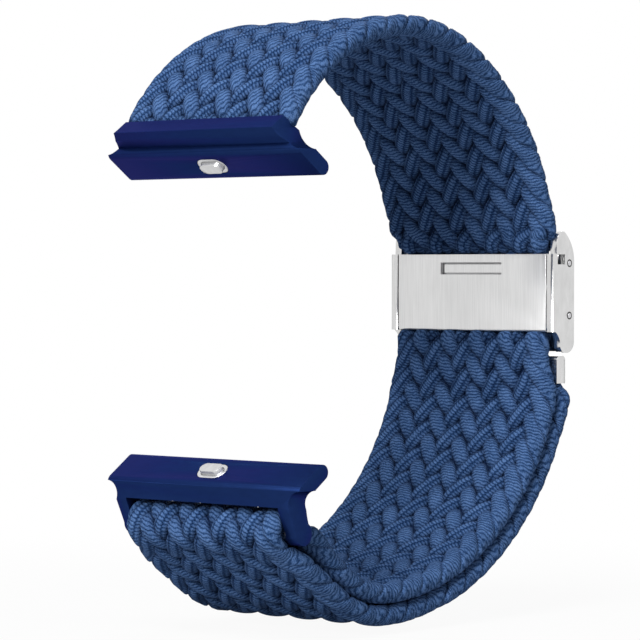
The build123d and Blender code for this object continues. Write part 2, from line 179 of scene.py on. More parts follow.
# Ramp of the cord's colour, by a mix of random tone and rib height: the cord's own blue, painted darker in the
# grooves as shade and lighter on the crests as highlight
CORD_COLOUR_AND_SHADE = [
    (0.30, (0.004, 0.014, 0.050)),
    (0.60, (0.026, 0.064, 0.164)),
    (0.86, (0.095, 0.180, 0.380)),
]
# Painted crease shade: the colour is multiplied darker the deeper a point lies in the band
PAINTED_CREASE_SHADE = [(0.22, (0.11, 0.14, 0.20)), (0.88, (1, 1, 1))]
CORD_ROUGHNESS = 0.8
CORD_SPECULAR = 0.015
CORD_SHEEN = (0.01, 0.5)
CORD_BUMP = (0.8, 0.0001)

# Camera
EYE = (250.10, -259.84, 4.90)
EYE_TURN = 42.0
EYE_PITCH = -0.80
EYE_ROLL = 0.10
LENS = 175.5
FLOOR_DROP = 1.0

# Clasp details
PINS = [(49.75, 6.6), (49.75, 0.08)]
PIN_STEPS = 24
PIN_DOME = [(0.34, -0.05), (0.34, 0.0), (0.30, 0.035), (0.20, 0.06), (0.08, 0.07), (0.001, 0.07)]
# Dark ring round each pin end: painted shadow for the gap between the pin and its hole, standing just proud of
# the cheek
PIN_GAP_SHADE = [(0.50, -0.02), (0.49, 0.006), (0.42, 0.012), (0.34, 0.012), (0.33, -0.02)]
PRY_BAR = ((-4.4, 4.9), (46.5, 47.05), (5.38, 6.48))
PRY_BAR_ROUND = 0.06

# Springs. A latch's runs on a rounded slot's outline, along the rail's tilted normal. The bar's has two halves.
LATCH_SPAN = (14.66, 15.41)
LATCH_ACROSS = -10.578
LATCH_TILT = 35.0
LATCH_HALF = 0.85
LATCH_ROUND = 0.95
LATCH_SQUARE = 2.5
LATCH_WIRE = 0.07
LATCH_TURNS = 2.5
BAR_SPAN = (0.1, 9.9)
BAR_COIL = 0.37
BAR_WIRE = 0.08
BAR_TURNS = 20
TURN_STEPS = 24
WIRE_SIDES = 8
CLOSED_END = 2

# Metals: colour, roughness, grain's scale along each axis, its depth in roughness, and what else differs
STEEL = (0.64, 0.64, 0.645)
GRAIN_SHARE = 0.65
CLOUD_SHARE = 0.35
CLOUD_SCALE = 180
DARKEST = 0.90
BRIGHTEST = 1.08
GRAIN_STOPS = (0.3, 0.7)
GRAIN_BUMP = (0.02, 0.00003)
METALS = {
    "blue_anodised": ((0.008, 0.022, 0.090), 0.42, (900, 2500, 2500), 0.10,
                      {"metallic": 0.85, "tint": (0.15, 0.25, 0.7)}),
    "latch_steel": (STEEL, 0.32, (3000, 500, 500), 0.10, {}),
    "ring_steel": (STEEL, 0.38, (2500, 2500, 2500), 0.10, {}),
    "spring_steel": ((0.58, 0.58, 0.60), 0.30, (300, 4000, 4000), 0.12, {}),
    "rivet_steel": (STEEL, 0.34, (2500, 2500, 2500), 0.10, {}),
    "bar_steel": ((0.66, 0.66, 0.68), 0.26, (200, 5000, 5000), 0.10, {}),
    "polished_steel": ((0.66, 0.66, 0.66), 0.22, (3500, 900, 400), 0.08, {}),
    "brushed_steel": ((0.69, 0.69, 0.69), 0.36, (6000, 6000, 220), 0.16, {}),
    "inner_steel": ((0.62, 0.62, 0.63), 0.42, (500, 3000, 3000), 0.10, {}),
    # Near black: painted shadow for the gap round each pin end
    "painted_gap_shade": ((0.05, 0.05, 0.05), 0.6, (2500, 2500, 2500), 0.10, {"metallic": 0.4}),
    "pin_steel": ((0.60, 0.60, 0.62), 0.24, (200, 5000, 5000), 0.08, {}),
}
USUAL_BEVEL = 0.08
BEVELS = {
    "upper_connector": 0.15,
    "lower_connector": 0.15,
    "flap_grip_plate": 0.03,
    "flap_hinge_pin": 0.04,
    "upper_latch_button": 0.04,
    "lower_latch_button": 0.04,
}
BEVEL_STEPS = 2
BEVEL_ANGLE = 32
WELD_DISTANCE = 0.002

# Stage. The floor glows white for the camera, less under the strap; distances from the middle in metres.
FLOOR_SIZE = 6.0
FLOOR_COLOUR = (0.50, 0.50, 0.50)
FLOOR_ROUGHNESS = 0.9
FLOOR_FADE = {"From Min": 0.05, "From Max": 0.16, "To Min": 0.94, "To Max": 1.0}
AMBIENT = 0.05
# Name, place in metres, size in metres and power in watts
LAMPS = [
    ("key", (0.15, -0.50, 0.85), 0.5, 8.3),
    ("fill", (0.20, -0.90, 0.42), 0.3, 7.0),
    ("side", (0.85, -0.10, 0.45), 0.4, 2.0),
    ("back", (-0.40, 0.95, 0.50), 0.4, 4.0),
]


def rad(angle):
    return math.radians(angle)


def ahead(place, heading, length):
    return (place[0] + length * math.cos(rad(heading)), place[1] + length * math.sin(rad(heading)))


class Route:
    """Straight runs and bends in the side view. Offsets are to the left of the heading."""

    def __init__(self, place, heading, spacing=0.1):
        self.spacing = spacing
        self.place = place
        self.heading = heading
        self.points = [place]
        self.headings = [heading]
        self.length = 0.0
        self.marks = {}

    def mark(self, name):
        self.marks[name] = self.length

    def run(self, length):
        count = max(2, int(length / self.spacing))
        start = self.place
        for step in range(1, count + 1):
            self.points.append(ahead(start, self.heading, length * step / count))
            self.headings.append(self.heading)
        self.place = self.points[-1]
        self.length += length

    def turn(self, radius, angle):
        """A bend to the right, or to the left where the angle is negative."""
        side = 1 if angle > 0 else -1
        centre = ahead(self.place, self.heading - 90 * side, radius)
        length = radius * rad(abs(angle))
        count = max(3, int(length / self.spacing))
        begin = self.heading
        for step in range(1, count + 1):
            heading = begin - angle * step / count
            self.points.append(ahead(centre, heading + 90 * side, radius))
            self.headings.append(heading)
        self.place = self.points[-1]
        self.heading = begin - angle
        self.length += length


def lower_bends(route, offset):
    """From the straight below the clasp to the bar. Gives back its steps, to be walked backwards."""
    steps = [("turn", BEND[0] + offset, BEND[1])]
    route.turn(BEND[0] + offset, BEND[1])
    rest = route.heading + 180
    sweep = (route.place[1] - FLOOR_Z + offset) / (1 - math.cos(rad(rest)))
    route.turn(sweep, rest)
    steps.append(("turn", sweep, rest))
    reach = (route.place[0] - BAR[0], FLOOR_Z + TOE_R - BAR[1])
    span = math.hypot(*reach)
    rim = TOE_R + LAYER_PITCH + BAND_T / 2 - WRAP_R
    normal = 360 + math.degrees(math.atan2(reach[1], reach[0]) - math.acos(-rim / span))
    route.turn(TOE_R + offset, 270 - normal)
    steps.append(("turn", TOE_R + offset, 270 - normal))
    tangent = math.sqrt(span**2 - rim**2)
    route.run(tangent)
    steps.append(("run", tangent, 0))
    return steps


def bend_reach(radius, heading, turned):
    """How far along Y a bend carries the band."""
    return radius * (math.sin(rad(heading)) - math.sin(rad(heading - turned)))


def crown_radius():
    """The crown takes up what the other stretches leave of the way back to the clasp."""
    reach = BAND_Y - MOUTH[0] - SWELL_RUN * math.cos(rad(MOUTH_HEADING))
    heading = MOUTH_HEADING - CROWN_TURN
    reach -= bend_reach(SHOULDER[0], heading, SHOULDER[1])
    heading -= SHOULDER[1]
    entry_heading = REAR_HEADING + ENTRY[1]
    reach -= bend_reach(BACK_RADIUS, heading, heading - entry_heading)
    reach -= bend_reach(ENTRY[0], entry_heading, ENTRY[1])
    return reach / bend_reach(1, MOUTH_HEADING, CROWN_TURN)


def band_route():
    route = Route(ahead(MOUTH, MOUTH_HEADING, -POCKET_DEPTH), MOUTH_HEADING)
    route.run(POCKET_DEPTH)
    route.mark("mouth")
    route.run(SWELL_RUN)
    route.turn(crown_radius(), CROWN_TURN)
    route.turn(*SHOULDER)
    route.turn(BACK_RADIUS, route.heading - REAR_HEADING - ENTRY[1])
    route.turn(*ENTRY)
    straight_top = route.place[1]
    start = route.length
    route.marks["press_high"] = start + straight_top - PRESS_HIGH
    route.marks["press_low"] = start + straight_top - PRESS_LOW
    low = CLAMP_LOW - SWELL_RUN
    route.run(straight_top - low)
    lower_bends(route, 0)
    route.mark("bar_in")
    near = WRAP_R - BAND_T / 2
    inner_near = LAYER_PITCH - near
    route.turn(inner_near, -180.0)
    route.mark("bar_out")
    spread = 2 * inner_near
    steps = lower_bends(Route((BAND_Y + spread, low), REAR_HEADING), spread)
    for kind, size, angle in reversed(steps):
        if kind == "run":
            route.run(size)
        else:
            route.turn(size, -angle)
    route.mark("outer_top")
    route.run(CLAMP_TOP - low)
    return route


def smooth(edge_a, edge_b, value):
    share = np.clip((value - edge_a) / (edge_b - edge_a), 0, 1)
    return share * share * (3 - 2 * share)


def keyed(keys, at):
    """Values given at places along the route, with smooth steps between them."""
    result = np.full(len(at), float(keys[0][1]))
    for before, after in zip(keys, keys[1:]):
        step = after[1] - before[1]
        if step:
            result = result + step * smooth(before[0], after[0], at)
    return result


class Band:
    """The band's middle line with its thickness and width, by true length."""

    def __init__(self):
        route = band_route()
        points = np.array(route.points)
        headings = np.radians(np.array(route.headings))
        normals = np.column_stack((-np.sin(headings), np.cos(headings)))
        along = np.concatenate(([0], np.cumsum(np.linalg.norm(np.diff(points, axis=0), axis=1))))
        marks = route.marks
        full = BAND_T / 2
        near = WRAP_R - BAND_T / 2
        inner_near = LAYER_PITCH - near
        wrap_mid = WRAP_R - WRAP_T / 2
        grow = inner_near - wrap_mid
        press = PRESSED_Y - BAND_Y
        mouth, high, low = marks["mouth"], marks["press_high"], marks["press_low"]
        bar_in, bar_out, top = marks["bar_in"], marks["bar_out"], marks["outer_top"]
        shifts = [
            (0, 0),
            (high - PRESS_TAPER, 0), (high, press), (low, press), (low + PRESS_TAPER, 0),
            (bar_in - SHIFT_IN, 0), (bar_in, grow), (bar_out, grow), (bar_out + SHIFT_OUT, inner_near - near),
        ]
        thin = PRESSED_T / 2
        halves = [
            (0, POCKET_T / 2), (mouth - POCKET_EDGE[0], POCKET_T / 2), (mouth + POCKET_EDGE[1], full),
            (high - PRESS_TAPER, full), (high, thin), (low, thin), (low + PRESS_TAPER, full),
            (bar_in - WRAP_TAPER, full), (bar_in, WRAP_T / 2),
            (bar_out, WRAP_T / 2), (bar_out + WRAP_TAPER, full),
            (top - CLAMP_TAPER[0], full), (top + CLAMP_TAPER[1], CLAMPED_T / 2),
        ]
        wide = BRAID_HALF
        slim = BRAID_HALF - SLIM_BY
        widths = [
            (0, NARROW_HALF), (mouth - POCKET_WIDENS[0], NARROW_HALF), (mouth + POCKET_WIDENS[1], wide),
            (high - CHEEK_REACH, wide), (high - PRESS_TAPER - CHEEK_LEAD, CHEEK_HALF),
            (high - PRESS_TAPER, CHEEK_HALF), (high, NARROW_HALF), (low, NARROW_HALF),
            (low + PRESS_TAPER, CHEEK_HALF), (low + CHEEK_REACH, CHEEK_HALF),
            (low + CHEEK_REACH + CHEEK_SPREAD, wide),
            (bar_in - WRAP_NARROWS[0], wide), (bar_in - WRAP_NARROWS[1], WRAP_HALF),
            (bar_out + WRAP_NARROWS[1], WRAP_HALF), (bar_out + WRAP_NARROWS[0], wide),
            (top - SLIM_RUN[0], wide), (top - SLIM_RUN[1], slim),
            (top - CLAMP_NARROWS, slim), (top + CLAMP_TAPER[1], NARROW_HALF),
        ]
        sways = [
            (mouth + UPPER_SWAY_RUN[0], 0), (mouth + UPPER_SWAY_RUN[1], UPPER_SWAY),
            (high - CHEEK_REACH - UPPER_SWAY_FADE, UPPER_SWAY), (high - CHEEK_REACH, 0),
            (bar_out + OUTER_SWAY_START, 0), (top - SLIM_RUN[1], OUTER_SWAY),
            (top - OUTER_SWAY_FADE[0], OUTER_SWAY), (top - OUTER_SWAY_FADE[1], 0),
        ]
        shift = keyed(shifts, along)
        self.sway = keyed(sways, along)
        middle = points + normals * shift[:, None]
        self.half_t = keyed(halves, along)
        self.half_w = keyed(widths, along)
        steps = np.linalg.norm(np.diff(middle, axis=0), axis=1)
        self.s = np.concatenate(([0], np.cumsum(steps)))
        self.middle = middle
        tangent = np.gradient(middle, axis=0)
        tangent /= np.linalg.norm(tangent, axis=1)[:, None]
        self.normal = np.column_stack((-tangent[:, 1], tangent[:, 0]))
        self.length = self.s[-1]

    def at(self, s):
        """Middle, normal, half thickness, half width and sideways sway at lengths s."""
        def pick(values):
            return np.interp(s, self.s, values)
        middle = np.column_stack((pick(self.middle[:, 0]), pick(self.middle[:, 1])))
        normal = np.column_stack((pick(self.normal[:, 0]), pick(self.normal[:, 1])))
        normal /= np.linalg.norm(normal, axis=1)[:, None]
        return middle, normal, pick(self.half_t), pick(self.half_w), pick(self.sway)


def unit(vectors):
    return vectors / np.linalg.norm(vectors, axis=1)[:, None]


def soft_distance(distance, half_period):
    """Distance from a turning point, rounded there, and exact half way to the next one."""
    spare = math.hypot(half_period, EDGE_ROUND) - half_period
    return np.hypot(distance, EDGE_ROUND) - spare * distance / half_period


def cord_lay(steps):
    """Where a cord is in the flat braid: its place across in crossings, its rise and its lean."""
    period = 2 * CORDS
    past = np.mod(steps + CORDS, period) - CORDS
    from_left = np.abs(past)
    from_right = CORDS - from_left
    middle = CORDS / 2
    across = np.where(from_left < middle, soft_distance(from_left, middle),
                      CORDS - soft_distance(from_right, middle))
    past_right = np.where(past > 0, past - CORDS, past + CORDS)
    wave = np.sign(past) * np.cos(2 * np.pi * (from_left - TURN_REACH) / 4)
    wave = np.where(from_left < TURN_REACH, np.sin(np.pi / 2 * past / TURN_REACH), wave)
    wave = np.where(from_right < TURN_REACH, np.sin(np.pi / 2 * past_right / TURN_REACH), wave)
    lean = np.where(past > 0, -np.pi / 2, np.pi / 2)
    left = np.clip(past / LEAN_REACH, -1, 1)
    right = np.clip(past_right / LEAN_REACH, -1, 1)
    lean = np.where(from_left < TURN_REACH, -np.pi / 2 * np.sin(np.pi / 2 * left), lean)
    lean = np.where(from_right < TURN_REACH, np.pi / 2 * np.sin(np.pi / 2 * right), lean)
    edge = np.maximum(0, 1 - np.minimum(from_left, from_right) / TURN_REACH)
    return across, wave, lean, edge


def tube_faces(base, rings, sides):
    """Quads along a tube whose rings follow each other, and its two ends."""
    here = base + np.arange(rings - 1)[:, None] * sides + np.arange(sides)[None, :]
    beside = base + np.arange(rings - 1)[:, None] * sides + (np.arange(sides)[None, :] + 1) % sides
    quads = np.stack((here, here + sides, beside + sides, beside), axis=-1).reshape(-1, 4)
    last = base + (rings - 1) * sides
    ends = [(base + np.arange(sides)).tolist(), (last + np.arange(sides)[::-1]).tolist()]
    return quads.tolist() + ends


def braid_mesh(band):
    """All cords and the core as one mesh, with what the knitted pattern and the painted crease shade need
    stored on its points.
    """
    count = int(band.length / STEP_ALONG * RINGS_PER_STEP)
    s = np.linspace(END_TRIM, band.length - END_TRIM, count)
    middle, normal, half_t, half_w, sway = band.at(s)
    squeeze = half_t / (BAND_T / 2)
    half_crossings = CORDS / 2 - EDGE_ROUND
    n3 = np.column_stack((np.zeros(count), normal))
    x3 = np.tile([1.0, 0.0, 0.0], (count, 1))
    turn = 2 * np.pi * np.arange(SIDES) / SIDES
    stored = {"ribs": [], "beads": [], "side": [], "face": [], "slant": [], "open": []}
    verts, faces = [], []
    rng = np.random.default_rng(SEED)
    for cord in range(CORDS):
        drift = sum(size * np.sin(s * rate + rng.uniform(0, PHASES)) for size, rate in DRIFTS)
        across, wave, lean, edge = cord_lay(s / STEP_ALONG + 2 * cord + drift)
        body = np.tanh(FLOAT_SQUARE * wave) / math.tanh(FLOAT_SQUARE)
        rise = CORD_RISE * squeeze * body
        reach = half_w - 0.5 * CORD_T * EDGE_SHARE
        x = (across - CORDS / 2) / half_crossings * reach + sway
        centre = np.column_stack((x, middle + normal * rise[:, None]))
        minor = np.cos(lean)[:, None] * x3 + np.sin(lean)[:, None] * n3
        tangent = unit(np.gradient(centre, axis=0))
        major = unit(np.cross(tangent, minor))
        minor = np.cross(major, tangent)
        plump = np.abs(wave)
        width = CORD_WIDTH * (WIDTH_SHARES[0] + WIDTH_SHARES[1] * plump + WIDTH_SHARES[2] * edge)
        thick = CORD_T * (THICK_SHARES[0] + THICK_SHARES[1] * plump)
        thick = thick * (squeeze * (1 - edge) + np.sqrt(squeeze) * edge)
        ring = (centre[:, None, :]
                + major[:, None, :] * (0.5 * width[:, None] * np.cos(turn))[:, :, None]
                + minor[:, None, :] * (0.5 * thick[:, None] * np.sin(turn))[:, :, None])
        top = (CORD_RISE + CORD_T / 2) * squeeze
        off = ((ring[:, :, 1:] - middle[:, None, :]) * normal[:, None, :]).sum(axis=2)
        pressed = np.clip(off, -top[:, None], top[:, None]) - off
        ring[:, :, 1:] += normal[:, None, :] * pressed[:, :, None]
        verts.append(ring.reshape(-1, 3))
        tilt = lean / (np.pi / 2)
        lengths = np.linalg.norm(np.diff(centre, axis=0, prepend=centre[:1]), axis=1)
        ribs = np.cumsum(lengths / (RIB_PITCH + RIB_SPREAD * tilt))
        start = rng.uniform(0, 1)
        stored["ribs"].append(np.repeat(ribs + start, SIDES))
        stored["beads"].append(np.repeat(np.cumsum(lengths) / BEAD_PITCH + start, SIDES))
        stored["side"].append(np.tile(np.cos(turn), count))
        stored["face"].append(np.tile(np.sin(turn), count))
        stored["slant"].append(np.repeat(RIB_SLANT[0] + RIB_SLANT[1] * tilt, SIDES))
        # How far each point stands out of the band's depth, or how near it is to the band's edge; where both
        # are low, the material paints crease shade
        rim = 1 - (half_w[:, None] - np.abs(ring[:, :, 0] - sway[:, None])) / RIM_DEPTH
        stored["open"].append(np.maximum(np.abs(off) / top[:, None], rim).clip(0, 1).ravel())
        faces += tube_faces(cord * count * SIDES, count, SIDES)
    core = np.array(CORE_SECTION)
    x = (half_w - CORE_INSET)[:, None] * core[:, 0] + sway[:, None]
    off = half_t[:, None] * core[:, 1]
    side_view = middle[:, None, :] + normal[:, None, :] * off[:, :, None]
    verts.append(np.concatenate((x[:, :, None], side_view), axis=2).reshape(-1, 3))
    faces += tube_faces(CORDS * count * SIDES, count, len(core))
    # The core's points store zeros, so it takes the darkest painted crease shade
    for values in stored.values():
        values.append(np.zeros(count * len(core)))
    mesh = bpy.data.meshes.new("braid")
    mesh.from_pydata((np.concatenate(verts) * MM).tolist(), [], faces)
    for name, values in stored.items():
        layer = mesh.attributes.new(name, "FLOAT", "POINT")
        layer.data.foreach_set("value", np.concatenate(values).astype(np.float32))
    mesh.shade_smooth()
    mesh.update()
    return mesh


# Materials

def new_material(name):
    material = bpy.data.materials.new(name)
    material.use_nodes = True
    tree = material.node_tree
    return material, tree, tree.nodes["Principled BSDF"]


def math_node(tree, operation, first, second=None, third=None):
    node = tree.nodes.new("ShaderNodeMath")
    node.operation = operation
    for socket, value in zip(node.inputs, (first, second, third)):
        if value is None:
            continue
        if isinstance(value, (int, float)):
            socket.default_value = value
        else:
            tree.links.new(value, socket)
    return node.outputs[0]


def place_node(tree, scale):
    coordinates = tree.nodes.new("ShaderNodeTexCoord")
    mapping = tree.nodes.new("ShaderNodeMapping")
    mapping.inputs["Scale"].default_value = scale
    tree.links.new(coordinates.outputs["Object"], mapping.inputs["Vector"])
    return mapping.outputs["Vector"]


def noise_node(tree, vector, scale, detail=2.0):
    node = tree.nodes.new("ShaderNodeTexNoise")
    node.inputs["Scale"].default_value = scale
    node.inputs["Detail"].default_value = detail
    tree.links.new(vector, node.inputs["Vector"])
    return node.outputs["Fac"]


def ramp_node(tree, factor, stops):
    node = tree.nodes.new("ShaderNodeValToRGB")
    elements = node.color_ramp.elements
    while len(elements) < len(stops):
        elements.new(0.5)
    for element, (place, colour) in zip(elements, stops):
        element.position = place
        element.color = (*colour, 1.0)
    tree.links.new(factor, node.inputs["Fac"])
    return node.outputs["Color"]


def bump_node(tree, height, strength, distance):
    node = tree.nodes.new("ShaderNodeBump")
    node.inputs["Strength"].default_value = strength
    node.inputs["Distance"].default_value = distance
    tree.links.new(height, node.inputs["Height"])
    return node.outputs["Normal"]


def limited(tree, value):
    return math_node(tree, "MINIMUM", math_node(tree, "MAXIMUM", value, 0.0), 1.0)


def braid_material():
    """Knitted cord: slanting ribs on the half of a cord that faces one way, rows of beads on the other half.
    Its colour carries painted shade in the grooves and painted highlight on the crests, over a random tone, and
    painted crease shade deeper in the band.
    """
    material, tree, shader = new_material("braid_cord")

    def stored(name):
        node = tree.nodes.new("ShaderNodeAttribute")
        node.attribute_name = name
        return node.outputs["Fac"]

    def ridge(phase):
        """A rounded ridge for each whole step of the phase."""
        moved = math_node(tree, "MULTIPLY_ADD", wobble, WOBBLE_SIZE, phase)
        saw = math_node(tree, "FRACT", moved)
        centred = math_node(tree, "ABSOLUTE", math_node(tree, "MULTIPLY_ADD", saw, 2.0, -1.0))
        return math_node(tree, "SUBTRACT", 1.0, math_node(tree, "POWER", centred, RIB_SHARPNESS))

    spot = place_node(tree, (1, 1, 1))
    wobble = noise_node(tree, spot, WOBBLE_SCALE, 3.0)
    angle = math_node(tree, "MULTIPLY", math_node(tree, "ARCSINE", stored("side")), 2 / math.pi)
    apart = math_node(tree, "ABSOLUTE", angle)
    way = limited(tree, math_node(tree, "MULTIPLY_ADD", stored("face"), -FACE_BLEND, 0.5))

    zigzag = math_node(tree, "SINE", math_node(tree, "MULTIPLY", angle, ZIGZAG_RATE))
    ribs = math_node(tree, "MULTIPLY_ADD", angle, stored("slant"), stored("ribs"))
    ribs = ridge(math_node(tree, "ADD", ribs, math_node(tree, "MULTIPLY", zigzag, ZIGZAG_SIZE)))

    outer = math_node(tree, "MULTIPLY", math_node(tree, "GREATER_THAN", apart, BEAD_LINE), BEAD_OFFSET)
    beads = math_node(tree, "MULTIPLY_ADD", apart, BEAD_SLANT, outer)
    beads = ridge(math_node(tree, "ADD", beads, stored("beads")))
    from_line = math_node(tree, "ABSOLUTE", math_node(tree, "SUBTRACT", apart, BEAD_LINE))
    flank = math_node(tree, "MINIMUM", math_node(tree, "MULTIPLY", from_line, BEAD_LINE_NARROW), 1.0)
    valley = math_node(tree, "SUBTRACT", 1.0, flank)
    beads = math_node(tree, "MULTIPLY_ADD", valley, -BEAD_LINE_DEPTH, beads)

    rib = math_node(tree, "MULTIPLY_ADD", math_node(tree, "SUBTRACT", beads, ribs), way, ribs)
    fine = noise_node(tree, spot, FIBRE_SCALE, 3.0)
    height = math_node(tree, "MULTIPLY_ADD", fine, FIBRE_HEIGHT, math_node(tree, "MULTIPLY", rib, RIB_HEIGHT))
    tone = noise_node(tree, spot, TONE_SCALE, 2.0)
    # Random tone mixed with the rib height: grooves come out darker as painted shade, crests lighter as painted
    # highlight
    shade = math_node(tree, "MULTIPLY_ADD", tone, TONE_SHARE, math_node(tree, "MULTIPLY", height, HEIGHT_SHARE))
    mix = tree.nodes.new("ShaderNodeMix")
    mix.data_type = "RGBA"
    mix.blend_type = "MULTIPLY"
    mix.inputs["Factor"].default_value = 1.0
    # Cord colour multiplied by the painted crease shade from the stored depth
    tree.links.new(ramp_node(tree, shade, CORD_COLOUR_AND_SHADE), mix.inputs["A"])
    tree.links.new(ramp_node(tree, stored("open"), PAINTED_CREASE_SHADE), mix.inputs["B"])
    tree.links.new(mix.outputs["Result"], shader.inputs["Base Color"])
    shader.inputs["Roughness"].default_value = CORD_ROUGHNESS
    shader.inputs["Specular IOR Level"].default_value = CORD_SPECULAR
    shader.inputs["Sheen Weight"].default_value = CORD_SHEEN[0]
    shader.inputs["Sheen Roughness"].default_value = CORD_SHEEN[1]
    tree.links.new(bump_node(tree, height, *CORD_BUMP), shader.inputs["Normal"])
    return material


def metal_material(name, colour, rough, grain_scale, depth, metallic=1.0, tint=(1, 1, 1)):
    """Metal with a directional grain, which changes its colour and its roughness a little."""
    material, tree, shader = new_material(name)
    grain = noise_node(tree, place_node(tree, grain_scale), 1.0, 4.0)
    cloud = noise_node(tree, place_node(tree, (1, 1, 1)), CLOUD_SCALE, 3.0)
    mixed = math_node(tree, "MULTIPLY_ADD", cloud, CLOUD_SHARE, math_node(tree, "MULTIPLY", grain, GRAIN_SHARE))
    low = tuple(c * DARKEST for c in colour)
    high = tuple(min(1.0, c * BRIGHTEST) for c in colour)
    tree.links.new(ramp_node(tree, mixed, list(zip(GRAIN_STOPS, (low, high)))), shader.inputs["Base Color"])
    roughness = math_node(tree, "MULTIPLY_ADD", mixed, depth, rough - depth / 2)
    tree.links.new(roughness, shader.inputs["Roughness"])
    shader.inputs["Metallic"].default_value = metallic
    shader.inputs["Specular Tint"].default_value = (*tint, 1.0)
    tree.links.new(bump_node(tree, grain, *GRAIN_BUMP), shader.inputs["Normal"])
    return material


def materials():
    made = {"braid": braid_material()}
    for name, (colour, rough, grain_scale, depth, more) in METALS.items():
        made[name] = metal_material(name, colour, rough, grain_scale, depth, **more)
    return made


def dress_nodes(made):
    """Each CAD piece takes its slot's material and a small bevel along its sharp edges."""
    slots = {row["node"]: row["material_slot"] for row in frame["record"]["subparts"]}
    for name, node in frame["nodes"].items():
        material = made[slots[name]]
        node.data.materials.clear()
        node.data.materials.append(material)
        weld = node.modifiers.new("weld", "WELD")
        weld.merge_threshold = WELD_DISTANCE * MM
        bevel = node.modifiers.new("edges", "BEVEL")
        bevel.width = BEVELS.get(name, USUAL_BEVEL) * MM
        bevel.segments = BEVEL_STEPS
        bevel.limit_method = "ANGLE"
        bevel.angle_limit = rad(BEVEL_ANGLE)
        bevel.harden_normals = True
        node.data.shade_smooth()


def braided_band(made):
    band = Band()
    piece = bpy.data.objects.new("braided_band_cords", braid_mesh(band))
    bpy.context.scene.collection.objects.link(piece)
    piece.data.materials.append(made["braid"])
    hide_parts("braided_band")
    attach(piece, "strap")


def turned_ends(profile, places, reach):
    """A small turned shape, its profile as (radius, height), on both cheeks at each place."""
    verts, faces = [], []
    for side in (-1, 1):
        for y, z in places:
            base = len(verts)
            for radius, height in profile:
                for step in range(PIN_STEPS):
                    turn = 2 * math.pi * step / PIN_STEPS
                    y_off, z_off = radius * math.cos(turn), radius * math.sin(turn)
                    verts.append((side * (reach + height), y + y_off, z + z_off))
            for ring in range(len(profile) - 1):
                for step in range(PIN_STEPS):
                    here = base + ring * PIN_STEPS + step
                    beside = base + ring * PIN_STEPS + (step + 1) % PIN_STEPS
                    quad = (here, here + PIN_STEPS, beside + PIN_STEPS, beside)
                    faces.append(quad[::-1] if side > 0 else quad)
    return verts, faces


def detail(name, verts, faces, material, slot, body):
    mesh = bpy.data.meshes.new(name)
    mesh.from_pydata([tuple(value * MM for value in vert) for vert in verts], [], faces)
    mesh.materials.append(material)
    mesh.shade_smooth()
    piece = bpy.data.objects.new(name, mesh)
    bpy.context.scene.collection.objects.link(piece)
    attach(piece, body)
    return piece


def clasp_details(made):
    """Domed pin ends, each in a dark ring of painted shadow for the gap round it, and the raised bar in the
    flap's slot.
    """
    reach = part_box("clasp_frame")[1].x / MM
    domes = turned_ends(PIN_DOME, PINS, reach)
    detail("pin_end_domes", *domes, made["pin_steel"], "pin_steel", "strap")
    # Dark rings of painted shadow round the pin ends
    gap_shades = turned_ends(PIN_GAP_SHADE, PINS, reach)
    detail("pin_end_gap_shades", *gap_shades, made["painted_gap_shade"], "pin_steel", "strap")
    (x0, x1), (y0, y1), (z0, z1) = PRY_BAR
    corners = [(x, y, z) for x in (x0, x1) for y in (y0, y1) for z in (z0, z1)]
    faces = [(0, 1, 3, 2), (4, 6, 7, 5), (0, 4, 5, 1), (2, 3, 7, 6), (0, 2, 6, 4), (1, 5, 7, 3)]
    bar = detail("pry_bar", corners, faces, made["brushed_steel"], "brushed_steel", "flap")
    bevel = bar.modifiers.new("edges", "BEVEL")
    bevel.width = PRY_BAR_ROUND * MM
    bevel.segments = 3
    bevel.harden_normals = True


def coil(half, radius, span, turns):
    """Centres and outward directions of a coil along its own third axis, round a circle or a rounded slot."""
    way = np.linspace(0, turns * 2 * math.pi, int(turns * TURN_STEPS) + 1)
    outward = np.column_stack((np.cos(way), np.sin(way), np.zeros(len(way))))
    centres = outward * radius
    centres[:, 0] += half * np.clip(np.cos(way) * LATCH_SQUARE, -1, 1)
    centres[:, 2] = np.interp(way, (CLOSED_END, way[-1] - CLOSED_END), span)
    return centres, outward


def spring(name, node, body, material, axes, origin, shape, wire):
    """The wire round a coil that is set on three axes at its origin, in place of the CAD node."""
    centres, outward = shape
    turn = 2 * np.pi * np.arange(WIRE_SIDES) / WIRE_SIDES
    ring = (centres[:, None, :] + outward[:, None, :] * (wire * np.cos(turn))[None, :, None]
            + np.array((0, 0, 1))[None, None, :] * (wire * np.sin(turn))[None, :, None])
    verts = ring.reshape(-1, 3) @ np.array(axes) + np.array(origin)
    faces = tube_faces(0, len(centres), WIRE_SIDES)
    piece = detail(name, verts.tolist(), faces, material, "spring_steel", body)
    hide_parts(node)
    return piece


